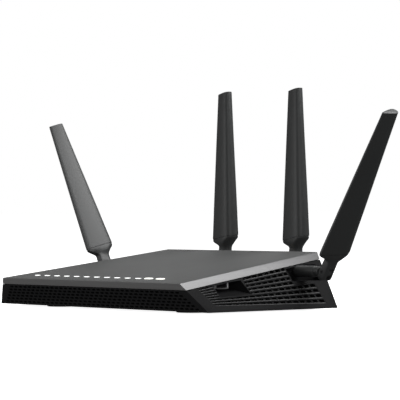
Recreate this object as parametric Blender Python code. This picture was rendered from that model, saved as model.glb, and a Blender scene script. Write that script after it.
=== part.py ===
"""Wireless router: a wedge-shaped case with four folding antennas, built as an assembly.

Lengths in this file are millimetres; object_from() writes every mesh in metres.
X runs along the front, Y from the front to the back and Z up. The origin is the
centre of the floor area that the whole assembly covers, at the underside of the feet.
"""

import math

import bmesh
import bpy
from mathutils import Matrix, Vector

MM = 0.001
GAP = 0.3  # clearance between neighbouring pieces

# Case: a wedge whose sides lean in and whose front and rear lean out.
FOOT_HEIGHT = 1.8
HALF_WIDTH = 142.5  # at the base
FRONT_BASE_Y = -91.3
REAR_BASE_Y = 59.8
FRONT_TOP_Z = 26.0
REAR_TOP_Z = 50.0
SIDE_LEAN = 0.864  # millimetres in, for each millimetre up
FRONT_LEAN = 0.575
REAR_LEAN = 0.32
FRONT_TOP_Y = FRONT_BASE_Y - FRONT_LEAN * (FRONT_TOP_Z - FOOT_HEIGHT)
REAR_TOP_Y = REAR_BASE_Y + REAR_LEAN * (REAR_TOP_Z - FOOT_HEIGHT)
TOP_RISE = (REAR_TOP_Z - FRONT_TOP_Z) / (REAR_TOP_Y - FRONT_TOP_Y)
WALL = 2.0
ROOF = 2.2
BAND = 6.2  # height of the cover's rim
FLOOR_Z = FOOT_HEIGHT + WALL
PANEL_Y = 59.5  # outer face of the rear panel

# Vents
SIDE_VENT_ROWS = 8
SIDE_VENT_LOW = 7.3  # height of the lowest row at its front end
SIDE_VENT_RISE = 0.0067
SIDE_VENT_PITCH = 1.92  # between rows, at the front end
SIDE_VENT_SPREAD = 0.0190  # how much the pitch grows for each millimetre of Y
SIDE_VENT_SHARE = 0.6  # height of a slot, as a share of the pitch
SIDE_VENT_FRONT = -80.0
SIDE_VENT_REAR = 47.0
FRONT_VENT_ROWS = 6
FRONT_VENT_LOW = 4.6
FRONT_VENT_PITCH = 2.75
FRONT_VENT_HEIGHT = 1.5

# Pockets in the side walls, between front and rear Y
PORT_POCKET_Y = (-69.0, -32.0)
PORT_POCKET_FLOOR = (14.4, 16.0)  # at the mouth, at those two ends
ANTENNA_POCKET_Y = (24.7, 63.5)
ANTENNA_POCKET_FLOOR = (25.3, 25.3)
POCKET_MOUTH_X = 130.0  # near the outside of the wall, at the floor of the port pocket
PORT_POCKET_RISE = 4.2  # of the floor, from the mouth to the sockets
PORT_POCKET_LEAN = 6.6  # of the rear end, forward from the mouth to the sockets
LINER_TOP = 39.9
POCKET_X = 110.0
LINER = 2.0

# Main board and what stands on it
BOARD_TOP = 20.2
BOARD_THICKNESS = 1.6
BOARD_FRONT = -93.0
BOARD_REAR = 56.0
BOARD_STEP_Y = -22.0
BOARD_HALF_FRONT = 103.0
BOARD_HALF_REAR = 82.0
STANDOFFS = [(x, y) for y in (-64.0, 34.0) for x in (-74.0, 74.0)]
BOSSES = [(-108.0, -84.0), (108.0, -84.0), (-92.0, 50.0), (92.0, 50.0)]
BOSS_RADIUS = 3.2
BOSS_LOW = 6.3

# Row of indicators and buttons on the cover
ROW_Y = -86.8
LIGHT_X = [-93.3 + 14.04 * i for i in range(11)]
LIGHT_SIZE = (5.4, 3.0)
TOP_BUTTON_X = {"wifi_button": 60.8, "wps_button": 76.0}
TOP_BUTTON_SIZE = (9.8, 4.4)

# Ports: width, height
RJ45_PITCH = 15.5
RJ45_HEIGHT = 13.5
RJ45_SOCKET = (11.8, 8.4, 16.0)
LAN_LEFT = -34.0
WAN_LEFT = 32.0
PORT_FRONT_Y = 38.0
PORT_REAR_Y = 60.2
USB_SIZE = (14.3, 13.0, 6.0)  # depth, width, height
USB_Y = {"usb_port_rear": -47.8, "usb_port_front": -62.4}
ESATA_Y = -46.1
ESATA_SIZE = (14.3, 12.0, 4.8)
POWER_JACK_X = -56.0
POWER_JACK_SIZE = (9.4, 14.0, 11.0)
POWER_BUTTON_X = -74.0
POWER_BUTTON_SIZE = 7.4
POWER_BUTTON_Z = 25.4
RESET_X = 66.0
RESET_Z = 24.0
LED_SWITCH_X = 57.0
LED_SWITCH_Z = 24.0
LED_SWITCH_TRAVEL = 3.0

# Feet
FOOT_RADIUS = 13.5
FEET = {
    "foot_front_left": (-89.0, -62.4),
    "foot_front_right": (89.0, -62.4),
    "foot_rear_left": (-89.0, 34.0),
    "foot_rear_right": (89.0, 34.0),
}

# Antennas: a jack on the case, a base that swivels on it, and a blade hinged to the base
PIVOT_REACH = 39.4  # from the pocket's wall to the hinge
COLLAR_RADIUS = 5.0
RING_RADIUS = 4.4
COLLAR_START = 37.4  # before the hinge
RING_START = 13.4
RING_END = 8.0
TONGUE_HALF = 2.0
TONGUE_RADIUS = 4.0
SLOT_HALF = TONGUE_HALF + GAP
SLOT_TOP = TONGUE_RADIUS + 0.6
PIN_RADIUS = 1.5
PIN_HALF = 5.9
JACK_RADIUS = 2.8
HOLE_RADIUS = 3.2
SIDE_TILT = math.radians(29.5)
BLADE_LENGTH = 156.1  # hinge to tip
BLADE_SLANT = math.tan(math.radians(9.0))
SIDE_AXIS = (39.4, 33.7)  # y, z
REAR_AXIS = (47.7, 41.0)  # x, z
REAR_PIVOT_Y = 100.4

COLOURS = {
    "cover_grey": ((0.105, 0.108, 0.108), 0.45, 0.0),
    "case_black": ((0.021, 0.021, 0.022), 0.5, 0.0),
    "antenna_black": ((0.035, 0.036, 0.036), 0.42, 0.0),
    "rubber": ((0.02, 0.02, 0.02), 0.9, 0.0),
    "board_green": ((0.02, 0.10, 0.05), 0.5, 0.0),
    "chip_black": ((0.03, 0.03, 0.03), 0.4, 0.0),
    "aluminium": ((0.60, 0.61, 0.62), 0.35, 1.0),
    "steel": ((0.45, 0.45, 0.46), 0.3, 1.0),
    "brass": ((0.65, 0.48, 0.20), 0.3, 1.0),
    "light_guide": ((0.85, 0.86, 0.86), 0.3, 0.0),
    "port_black": ((0.03, 0.03, 0.03), 0.45, 0.0),
    "port_yellow": ((0.70, 0.45, 0.03), 0.45, 0.0),
    "lead_grey": ((0.12, 0.12, 0.12), 0.6, 0.0),
}


# ---------------------------------------------------------------- objects


def clear_scene():
    for obj in list(bpy.data.objects):
        bpy.data.objects.remove(obj, do_unlink=True)


def material_of(name):
    """The part's own material, made once."""
    if name in bpy.data.materials:
        return bpy.data.materials[name]
    colour, roughness, metallic = COLOURS[name]
    material = bpy.data.materials.new(name)
    material.use_nodes = True
    shader = material.node_tree.nodes["Principled BSDF"]
    shader.inputs["Base Color"].default_value = (*colour, 1.0)
    shader.inputs["Roughness"].default_value = roughness
    shader.inputs["Metallic"].default_value = metallic
    return material


def object_from(bm, name, material=None, parent=None):
    """An object in metres from a bmesh in millimetres."""
    bmesh.ops.recalc_face_normals(bm, faces=bm.faces)
    mesh = bpy.data.meshes.new(name)
    bm.to_mesh(mesh)
    bm.free()
    mesh.transform(Matrix.Scale(MM, 4))
    mesh.shade_smooth()
    mesh.set_sharp_from_angle(angle=math.radians(35))
    obj = bpy.data.objects.new(name, mesh)
    bpy.context.collection.objects.link(obj)
    if material:
        mesh.materials.append(material_of(material))
    obj.parent = parent
    return obj


def empty(name, location, rotation=None, parent=None):
    """An empty at a place in millimetres, turned by a rotation matrix."""
    obj = bpy.data.objects.new(name, None)
    obj.empty_display_size = 0.01
    bpy.context.collection.objects.link(obj)
    obj.parent = parent
    turn = rotation.to_4x4() if rotation else Matrix.Identity(4)
    obj.matrix_local = Matrix.Translation(Vector(location) * MM) @ turn
    return obj


def cut(target, bm, operation="DIFFERENCE"):
    """Cuts a bmesh from the target, or joins it, with a Boolean modifier."""
    tool = object_from(bm, f"{target.name}_tool_{len(target.modifiers)}", parent=target.parent)
    tool.hide_render = True
    tool.display_type = "WIRE"
    modifier = target.modifiers.new(operation.title(), "BOOLEAN")
    modifier.operation = operation
    modifier.solver = "EXACT"
    modifier.object = tool
    return tool


# ---------------------------------------------------------------- shapes


def add_corners(bm, corners):
    """A six-sided solid from its four lower and four upper corners, each in order round."""
    verts = [bm.verts.new(c) for c in corners]
    bm.faces.new(verts[3::-1])
    bm.faces.new(verts[4:])
    for i in range(4):
        j = (i + 1) % 4
        bm.faces.new((verts[i], verts[j], verts[j + 4], verts[i + 4]))


def add_box(bm, low, high):
    (x0, y0, z0), (x1, y1, z1) = low, high
    outline = ((x0, y0), (x1, y0), (x1, y1), (x0, y1))
    add_corners(bm, [(x, y, z) for z in (z0, z1) for x, y in outline])


def add_outline(bm, points, low, high, place=None):
    """An outline in X and Y, extruded in Z from low to high."""
    place = place or Matrix.Identity(4)
    rings = [[bm.verts.new(place @ Vector((x, y, z))) for x, y in points] for z in (low, high)]
    bm.faces.new(rings[0][::-1])
    bm.faces.new(rings[1])
    for i in range(len(points)):
        j = (i + 1) % len(points)
        bm.faces.new((rings[0][i], rings[0][j], rings[1][j], rings[1][i]))


def circle(radius, sides, centre=(0.0, 0.0)):
    steps = [2 * math.pi * (i + 0.5) / sides for i in range(sides)]
    return [(centre[0] + radius * math.cos(a), centre[1] + radius * math.sin(a)) for a in steps]


def add_disc(bm, radius, low, high, centre=(0.0, 0.0), sides=16, place=None):
    add_outline(bm, circle(radius, sides, centre), low, high, place)


def add_turned(bm, profile, sides=16, place=None):
    """A turned solid about Z. The profile's (radius, z) points start and end on the axis."""
    place = place or Matrix.Identity(4)
    rings = []
    for radius, z in profile:
        if radius == 0:
            rings.append([bm.verts.new(place @ Vector((0, 0, z)))] * sides)
        else:
            rings.append([bm.verts.new(place @ Vector((x, y, z))) for x, y in circle(radius, sides)])
    for low, high in zip(rings, rings[1:]):
        for i in range(sides):
            j = (i + 1) % sides
            corners = list(dict.fromkeys((low[i], low[j], high[j], high[i])))
            bm.faces.new(corners)


def add_loft(bm, rings):
    """A closed solid through rings of the same number of points."""
    verts = [[bm.verts.new(p) for p in ring] for ring in rings]
    for low, high in zip(verts, verts[1:]):
        for i in range(len(low)):
            j = (i + 1) % len(low)
            bm.faces.new((low[i], low[j], high[j], high[i]))
    bm.faces.new(verts[0][::-1])
    bm.faces.new(verts[-1])


def add_mirrored(bm):
    """Adds the mirror image across X = 0 of everything in the bmesh."""
    for face in list(bm.faces):
        corners = [bm.verts.new((-v.co.x, v.co.y, v.co.z)) for v in reversed(face.verts)]
        bm.faces.new(corners)
    bmesh.ops.remove_doubles(bm, verts=bm.verts, dist=1e-4)


# Planes are (normal, distance), with the normal pointing out of the case.


def plane(normal, point, inset=0.0):
    normal = Vector(normal).normalized()
    return normal, normal.dot(Vector(point)) - inset


def side_plane(sign, inset=0.0):
    return plane((sign, 0, SIDE_LEAN), (sign * HALF_WIDTH, 0, FOOT_HEIGHT), inset)


def front_plane(inset=0.0):
    return plane((0, -1, -FRONT_LEAN), (0, FRONT_BASE_Y, FOOT_HEIGHT), inset)


def rear_plane(inset=0.0):
    return plane((0, 1, -REAR_LEAN), (0, REAR_BASE_Y, FOOT_HEIGHT), inset)


def roof_plane(drop=0.0):
    """Parallel to the top, this far straight below it."""
    return plane((0, -TOP_RISE, 1), (0, FRONT_TOP_Y, FRONT_TOP_Z - drop))


def level_plane(z):
    return plane((0, 0, 1), (0, 0, z))


def upright_plane(y):
    return plane((0, 1, 0), (0, y, 0))


def meet(a, b, c):
    """The point where three planes meet."""
    rows = Matrix((a[0], b[0], c[0]))
    return rows.inverted() @ Vector((a[1], b[1], c[1]))


def add_wedge(bm, left, right, front, rear, low, high):
    around = ((left, front), (right, front), (right, rear), (left, rear))
    add_corners(bm, [meet(side, end, level) for level in (low, high) for side, end in around])


def top_z(y):
    return FRONT_TOP_Z + TOP_RISE * (y - FRONT_TOP_Y)


def side_x(z):
    return HALF_WIDTH - SIDE_LEAN * (z - FOOT_HEIGHT)


# ---------------------------------------------------------------- case


def make_top_cover(root):
    bm = bmesh.new()
    add_wedge(bm, side_plane(-1), side_plane(1), front_plane(), rear_plane(), roof_plane(BAND), roof_plane())
    cover = object_from(bm, "top_cover", "cover_grey", root)
    hollow = bmesh.new()
    walls = (side_plane(-1, WALL), side_plane(1, WALL), front_plane(WALL), rear_plane(WALL))
    add_wedge(hollow, *walls, roof_plane(2 * BAND), roof_plane(ROOF))
    cut(cover, hollow)
    bosses = bmesh.new()
    for x, y in BOSSES:
        add_disc(bosses, BOSS_RADIUS, BOSS_LOW, top_z(y) - ROOF / 2, (x, y))
    cut(cover, bosses, "UNION")
    holes = bmesh.new()
    for x, y in BOSSES:
        add_disc(holes, 1.5, BOSS_LOW - 1, BOSS_LOW + 8, (x, y), sides=10)
    width, depth = (size / 2 + GAP for size in LIGHT_SIZE)
    for x in LIGHT_X:
        add_box(holes, (x - width, ROW_Y - depth, 20), (x + width, ROW_Y + depth, 35))
    for x in TOP_BUTTON_X.values():
        add_outline(holes, slot_outline(x, ROW_Y, TOP_BUTTON_SIZE, GAP), 20, 35)
    half = COLLAR_RADIUS + 0.6
    for x in (-REAR_AXIS[0], REAR_AXIS[0]):
        add_box(holes, (x - half, REAR_BASE_Y + 4, REAR_AXIS[1] - 4), (x + half, REAR_TOP_Y + 9, REAR_AXIS[1] + half))
    cut(cover, holes)


def slot_outline(x, y, size, grow=0.0, corner=1.4):
    """A rectangle with cut corners, as wide and deep as size."""
    a = size[0] / 2 + grow
    b = size[1] / 2 + grow
    c = corner
    points = ((a, b - c), (a - c, b), (c - a, b), (-a, b - c), (-a, c - b), (c - a, -b), (a - c, -b), (a, c - b))
    return [(x + px, y + py) for px, py in points]


def pocket_floor(y, y_ends, floor):
    return floor[0] + (floor[1] - floor[0]) * (y - y_ends[0]) / (y_ends[1] - y_ends[0])


def add_pocket(bm, y_ends, floor, rise=0.0, lean=0.0):
    """What a pocket takes out of the right wall. Its ceiling runs just under the cover's rim.

    The floor falls and the rear end runs back towards the mouth, by rise and lean.
    """
    outside = HALF_WIDTH + 10
    beyond = (outside - POCKET_MOUTH_X) / (POCKET_MOUTH_X - POCKET_X)
    rings = []
    for y, share in zip(y_ends, (0.0, lean)):
        low = pocket_floor(y, y_ends, floor)
        high = top_z(y - share) - BAND - 1.3
        inner_y, outer_y = y - share, y + share * beyond
        inner_low, outer_low = low + rise, low - rise * beyond
        rings.append([(POCKET_X, inner_y, inner_low), (outside, outer_y, outer_low),
                      (outside, outer_y, high), (POCKET_X, inner_y, high)])
    add_loft(bm, rings)


def add_liner(bm, y_ends, floor):
    """The solid round a pocket in the right wall, out to the middle of that wall."""
    below_rim = BAND + GAP + 0.1
    knee = FRONT_TOP_Y + (LINER_TOP + below_rim - FRONT_TOP_Z) / TOP_RISE
    stations = [y_ends[0] - LINER, y_ends[1] + LINER]
    if stations[0] < knee < stations[1]:
        stations.insert(1, knee)
    inner = POCKET_X - LINER
    to_middle = WALL / 2 * math.hypot(1, SIDE_LEAN)
    rings = []
    for y in stations:
        low = pocket_floor(y, y_ends, floor) - LINER
        high = min(top_z(y) - below_rim, LINER_TOP)
        outer_low, outer_high = side_x(low) - to_middle, side_x(high) - to_middle
        rings.append([(inner, y, low), (outer_low, y, low), (outer_high, y, high), (inner, y, high)])
    add_loft(bm, rings)


def add_side_vents(bm):
    """Rows of long slots in the right wall, which fan out from the front to the rear."""
    for row in range(SIDE_VENT_ROWS):
        for start, end in vent_spans(row):
            corners = []
            for edge in (-SIDE_VENT_SHARE / 2, SIDE_VENT_SHARE / 2):
                near = side_vent_z(row + edge, start)
                far = side_vent_z(row + edge, end)
                corners += [
                    (side_x(near) - 4, start, near),
                    (side_x(near) + 4, start, near),
                    (side_x(far) + 4, end, far),
                    (side_x(far) - 4, end, far),
                ]
            add_corners(bm, corners)


def side_vent_z(row, y):
    along = y - SIDE_VENT_FRONT
    return SIDE_VENT_LOW + SIDE_VENT_RISE * along + row * (SIDE_VENT_PITCH + SIDE_VENT_SPREAD * along)


def vent_spans(row):
    """The stretches of Y that a row's slots take: the pockets interrupt the upper rows."""
    rear_end = SIDE_VENT_REAR if row < 4 else ANTENNA_POCKET_Y[0] - LINER - 3
    if row < 2:
        stretches = [(SIDE_VENT_FRONT + 4, rear_end, 5)]
    elif row < 6:
        ahead = (SIDE_VENT_FRONT + 2, PORT_POCKET_Y[0] - LINER, 1)
        stretches = [ahead, (PORT_POCKET_Y[1] + LINER + 1, rear_end, 3)]
    else:
        stretches = [(PORT_POCKET_Y[1] + LINER + 3 * (row - 3), rear_end, 2)]
    spans = []
    for start, end, count in stretches:
        pitch = (end - start + 2.6) / count
        spans += [(start + i * pitch, start + (i + 1) * pitch - 2.6) for i in range(count)]
    return spans


def add_front_vents(bm):
    count = 5
    for row in range(FRONT_VENT_ROWS):
        z = FRONT_VENT_LOW + row * FRONT_VENT_PITCH
        y = FRONT_BASE_Y - FRONT_LEAN * (z - FOOT_HEIGHT)
        half = side_x(z) - 8
        pitch = 2 * half / count
        for i in range(count):
            x = -half + i * pitch
            half_height = FRONT_VENT_HEIGHT / 2
            add_box(bm, (x, y - 4, z - half_height), (x + pitch - 3, y + 4, z + half_height))


def make_lower_case(root):
    rim = roof_plane(BAND + GAP)
    bm = bmesh.new()
    sides = (side_plane(-1), side_plane(1))
    add_wedge(bm, *sides, front_plane(), rear_plane(), level_plane(FOOT_HEIGHT), rim)
    case = object_from(bm, "lower_case", "case_black", root)

    hollow = bmesh.new()
    walls = (side_plane(-1, WALL), side_plane(1, WALL), front_plane(WALL))
    add_wedge(hollow, *walls, upright_plane(REAR_TOP_Y + 10), level_plane(FLOOR_Z), roof_plane(-5))
    cut(case, hollow)

    solid = bmesh.new()
    add_liner(solid, PORT_POCKET_Y, PORT_POCKET_FLOOR)
    add_liner(solid, ANTENNA_POCKET_Y, ANTENNA_POCKET_FLOOR)
    add_mirrored(solid)
    for x, y in STANDOFFS:
        add_disc(solid, 3.5, FLOOR_Z - 1, BOARD_TOP - BOARD_THICKNESS - GAP, (x, y))
    for x, y in BOSSES:
        add_disc(solid, 5.5, FLOOR_Z - 1, BOSS_LOW - GAP, (x, y))
    cut(case, solid, "UNION")

    holes = bmesh.new()
    add_pocket(holes, PORT_POCKET_Y, PORT_POCKET_FLOOR, PORT_POCKET_RISE, PORT_POCKET_LEAN)
    add_pocket(holes, ANTENNA_POCKET_Y, ANTENNA_POCKET_FLOOR)
    add_mirrored(holes)
    cut(case, holes)

    vents = bmesh.new()
    add_side_vents(vents)
    add_mirrored(vents)
    add_front_vents(vents)
    cut(case, vents)

    openings = bmesh.new()
    for y in USB_Y.values():
        add_window(openings, 1, y, USB_SIZE)
    add_window(openings, -1, ESATA_Y, ESATA_SIZE)
    axis_y, axis_z = SIDE_AXIS
    for sign in (-1, 1):
        place = Matrix.Translation((sign * POCKET_X, axis_y, axis_z)) @ Matrix.Rotation(math.pi / 2, 4, "Y")
        add_disc(openings, HOLE_RADIUS, -5, 5, place=place)
    for x, y in STANDOFFS:
        add_disc(openings, 1.3, 8, BOARD_TOP, (x, y), sides=10)
    for x, y in BOSSES:
        add_turned(openings, [(0, 0), (3.3, 0), (3.3, 4.2), (1.6, 4.2), (1.6, 8), (0, 8)], sides=12,
                   place=Matrix.Translation((x, y, 0)))
    cut(case, openings)


def add_window(bm, sign, y, size):
    """A port's opening in a side pocket's upright wall."""
    half = size[1] / 2 + GAP
    xs = sorted((sign * (POCKET_X - 4), sign * (POCKET_X + 1.5)))
    low = BOARD_TOP + 0.1
    add_box(bm, (xs[0], y - half, low), (xs[1], y + half, low + size[2] + 2 * GAP))


def make_rear_panel(root):
    """A flat panel that closes the back between the side walls."""
    low, high = FLOOR_Z + GAP, top_z(PANEL_Y - WALL) - ROOF - 0.6
    slack = WALL * math.hypot(1, SIDE_LEAN) + GAP
    step_z = ANTENNA_POCKET_FLOOR[0] - LINER - GAP
    step_x = POCKET_X - LINER - GAP
    upper_z = FOOT_HEIGHT + (HALF_WIDTH - slack - step_x) / SIDE_LEAN
    right = [(side_x(low) - slack, low), (side_x(step_z) - slack, step_z), (step_x, step_z),
             (step_x, upper_z), (side_x(high) - slack, high)]
    outline = right + [(-x, z) for x, z in reversed(right)]
    upright = Matrix.Translation((0, PANEL_Y, 0)) @ Matrix.Rotation(math.pi / 2, 4, "X")
    bm = bmesh.new()
    add_outline(bm, outline, 0, WALL, upright)
    panel = object_from(bm, "rear_panel", "case_black", root)

    holes = bmesh.new()
    top = BOARD_TOP + GAP + RJ45_HEIGHT + GAP

    def window(x0, x1, z0, z1):
        add_box(holes, (x0, PANEL_Y - WALL - 1, z0), (x1, PANEL_Y + 1, z1))

    window(LAN_LEFT - GAP, LAN_LEFT + 4 * RJ45_PITCH + GAP, BOARD_TOP, top)
    window(WAN_LEFT - GAP, WAN_LEFT + RJ45_PITCH + GAP, BOARD_TOP, top)
    half = POWER_JACK_SIZE[0] / 2 + GAP
    window(POWER_JACK_X - half, POWER_JACK_X + half, BOARD_TOP, BOARD_TOP + POWER_JACK_SIZE[2] + 2 * GAP)
    half = POWER_BUTTON_SIZE / 2 + GAP
    window(POWER_BUTTON_X - half, POWER_BUTTON_X + half, POWER_BUTTON_Z - half, POWER_BUTTON_Z + half)
    reach = LED_SWITCH_TRAVEL / 2 + 1.5 + GAP
    window(LED_SWITCH_X - reach, LED_SWITCH_X + reach, LED_SWITCH_Z - 1.5, LED_SWITCH_Z + 1.5)
    turn = Matrix.Rotation(math.pi / 2, 4, "X")
    add_disc(holes, 1.5, -1, WALL + 1, sides=12, place=Matrix.Translation((RESET_X, PANEL_Y, RESET_Z)) @ turn)
    for x in (-REAR_AXIS[0], REAR_AXIS[0]):
        place = Matrix.Translation((x, PANEL_Y, REAR_AXIS[1])) @ turn
        add_disc(holes, HOLE_RADIUS, -1, WALL + 1, place=place)
    cut(panel, holes)


def make_feet(root):
    rim = 0.4
    profile = [(0, 0), (FOOT_RADIUS - rim, 0), (FOOT_RADIUS, rim), (FOOT_RADIUS, FOOT_HEIGHT - 0.05),
               (0, FOOT_HEIGHT - 0.05)]
    for name, (x, y) in FEET.items():
        bm = bmesh.new()
        add_turned(bm, profile, sides=28, place=Matrix.Translation((x, y, 0)))
        object_from(bm, name, "rubber", root)


def add_screw(bm, x, y, head_low, head_high, head_radius, shaft_radius, shaft_end):
    """A screw upright in the case. The shaft ends above the head or below it."""
    if shaft_end > head_high:
        ends = [(0, head_low), (head_radius, head_low), (head_radius, head_high), (shaft_radius, head_high),
                (shaft_radius, shaft_end - 1), (shaft_radius / 2, shaft_end), (0, shaft_end)]
    else:
        ends = [(0, shaft_end), (shaft_radius / 2, shaft_end), (shaft_radius, shaft_end + 1),
                (shaft_radius, head_low), (head_radius, head_low), (head_radius, head_high), (0, head_high)]
    add_turned(bm, ends, sides=10, place=Matrix.Translation((x, y, 0)))


def make_screws(root):
    for i, (x, y) in enumerate(BOSSES, 1):
        bm = bmesh.new()
        add_screw(bm, x, y, 2.0, 3.9, 2.9, 1.2, 13.0)
        object_from(bm, f"case_screw_{i}", "steel", root)
    for i, (x, y) in enumerate(STANDOFFS, 1):
        bm = bmesh.new()
        add_screw(bm, x, y, BOARD_TOP + GAP, BOARD_TOP + 2.0, 2.8, 1.0, 10.0)
        object_from(bm, f"board_screw_{i}", "steel", root)


# ---------------------------------------------------------------- electronics


def make_board(root):
    front, rear = BOARD_HALF_FRONT, BOARD_HALF_REAR
    right = [(front, BOARD_FRONT), (front, BOARD_STEP_Y), (rear, BOARD_STEP_Y), (rear, BOARD_REAR)]
    outline = right + [(-x, y) for x, y in reversed(right)]
    bm = bmesh.new()
    add_outline(bm, outline, BOARD_TOP - BOARD_THICKNESS, BOARD_TOP)
    board = object_from(bm, "main_board", "board_green", root)
    holes = bmesh.new()
    for x, y in STANDOFFS:
        add_disc(holes, 1.4, 10, 30, (x, y), sides=10)
    cut(board, holes)


def make_chips(root):
    low = BOARD_TOP + GAP
    bm = bmesh.new()
    add_box(bm, (-12, -22, low), (12, 2, low + 2.0))
    object_from(bm, "processor", "chip_black", root)

    bm = bmesh.new()
    base = low + 2.0 + GAP
    fins = 9
    pitch, thick, height = 5.0, 1.2, 8.0
    half = (fins - 1) * pitch / 2 + thick / 2
    points = [(-half, 0.0), (half, 0.0)]
    for i in reversed(range(fins)):
        x = -half + i * pitch
        points += [(x + thick, height), (x, height)]
        if i:
            points += [(x, 2.5), (x - pitch + thick, 2.5)]
    upright = Matrix.Translation((0, 8, base)) @ Matrix.Rotation(math.pi / 2, 4, "X")
    add_outline(bm, points, 0, 38, upright)
    object_from(bm, "heat_sink", "aluminium", root)

    for name, x in (("radio_shield_left", -52.0), ("radio_shield_right", 52.0)):
        bm = bmesh.new()
        add_box(bm, (x - 17, -30, low), (x + 17, 10, low + 3.5))
        shield = object_from(bm, name, "steel", root)
        inside = bmesh.new()
        add_box(inside, (x - 16.4, -29.4, low - 1), (x + 16.4, 9.4, low + 3.0))
        cut(shield, inside)


def make_ethernet(root):
    low = BOARD_TOP + GAP
    rows = (("ethernet_ports", LAN_LEFT, 4, "port_yellow"), ("internet_port", WAN_LEFT, 1, "port_black"))
    width, height, depth = RJ45_SOCKET
    for name, left, count, colour in rows:
        bm = bmesh.new()
        add_box(bm, (left, PORT_FRONT_Y, low), (left + count * RJ45_PITCH, PORT_REAR_Y, low + RJ45_HEIGHT))
        block = object_from(bm, name, colour, root)
        sockets = bmesh.new()
        for i in range(count):
            x = left + (i + 0.5) * RJ45_PITCH
            z = low + 1.8
            add_box(sockets, (x - width / 2, PORT_REAR_Y - depth, z), (x + width / 2, PORT_REAR_Y + 1, z + height))
        cut(block, sockets)
        latches = bmesh.new()
        for i in range(count):
            x = left + (i + 0.5) * RJ45_PITCH
            z = low + 1.8 + height
            add_box(latches, (x - 2, PORT_REAR_Y - 8, z - 1), (x + 2, PORT_REAR_Y + 1, z + 2.0))
        cut(block, latches)


def make_side_ports(root):
    low = BOARD_TOP + GAP
    ports = [(name, 1, y, USB_SIZE) for name, y in USB_Y.items()]
    ports.append(("esata_port", -1, ESATA_Y, ESATA_SIZE))
    for name, sign, y, (depth, width, height) in ports:
        xs = sorted((sign * (POCKET_X + 0.3 - depth), sign * (POCKET_X + 0.3)))
        bm = bmesh.new()
        add_box(bm, (xs[0], y - width / 2, low), (xs[1], y + width / 2, low + height))
        port = object_from(bm, name, "steel", root)
        mouth = bmesh.new()
        deep = sorted((sign * (POCKET_X - 10), sign * (POCKET_X + 2)))
        skin = 0.6
        add_outline_socket(mouth, deep, y, width / 2 - skin, low + skin, low + height - skin)
        cut(port, mouth)


def add_outline_socket(bm, xs, y, half, low, high):
    """A socket's mouth with a tongue that stands out from its inner end under the top."""
    tongue_half = half - 1.0
    tongue_high = high - 0.8
    tongue_low = tongue_high - 1.4
    points = [(y - half, low), (y + half, low), (y + half, high), (y + tongue_half, high),
              (y + tongue_half, tongue_low), (y - tongue_half, tongue_low), (y - tongue_half, high), (y - half, high)]
    stand = Matrix(((0, 0, 1, 0), (1, 0, 0, 0), (0, 1, 0, 0), (0, 0, 0, 1)))
    add_outline(bm, points, xs[0], xs[1], stand)


def make_power(root):
    low = BOARD_TOP + GAP
    width, depth, height = POWER_JACK_SIZE
    bm = bmesh.new()
    rear = PORT_REAR_Y
    add_box(bm, (POWER_JACK_X - width / 2, rear - depth, low), (POWER_JACK_X + width / 2, rear, low + height))
    jack = object_from(bm, "power_jack", "port_black", root)
    bore = bmesh.new()
    turn = Matrix.Rotation(-math.pi / 2, 4, "X")
    place = Matrix.Translation((POWER_JACK_X, rear, low + height / 2)) @ turn
    ring = [(0, 3.0), (3.1, 3.0), (3.1, -10.0), (1.1, -10.0), (1.1, -1.5), (0, -1.5)]
    add_turned(bore, list(reversed(ring)), sides=16, place=place)
    cut(jack, bore)


def make_rear_controls(root):
    half = POWER_BUTTON_SIZE / 2
    bm = bmesh.new()
    turn = Matrix.Translation((POWER_BUTTON_X, 50, POWER_BUTTON_Z)) @ Matrix.Rotation(-math.pi / 2, 4, "X")
    size = (2 * half, 2 * half)
    add_outline(bm, slot_outline(0, 0, size, corner=0.8), 0, 12.8, turn)
    object_from(bm, "power_button", "port_black", root)

    bm = bmesh.new()
    turn = Matrix.Translation((RESET_X, 52, RESET_Z)) @ Matrix.Rotation(-math.pi / 2, 4, "X")
    add_turned(bm, [(0, 0), (2.6, 0), (2.6, 3.4), (1.1, 3.4), (1.1, 6.6), (0, 6.6)], sides=12, place=turn)
    object_from(bm, "reset_button", "port_black", root)

    bm = bmesh.new()
    x, z = LED_SWITCH_X - LED_SWITCH_TRAVEL / 2, LED_SWITCH_Z
    add_box(bm, (x - 1.5, 51, z - 1.2), (x + 1.5, 60.7, z + 1.2))
    object_from(bm, "led_switch", "port_black", root)


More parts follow.
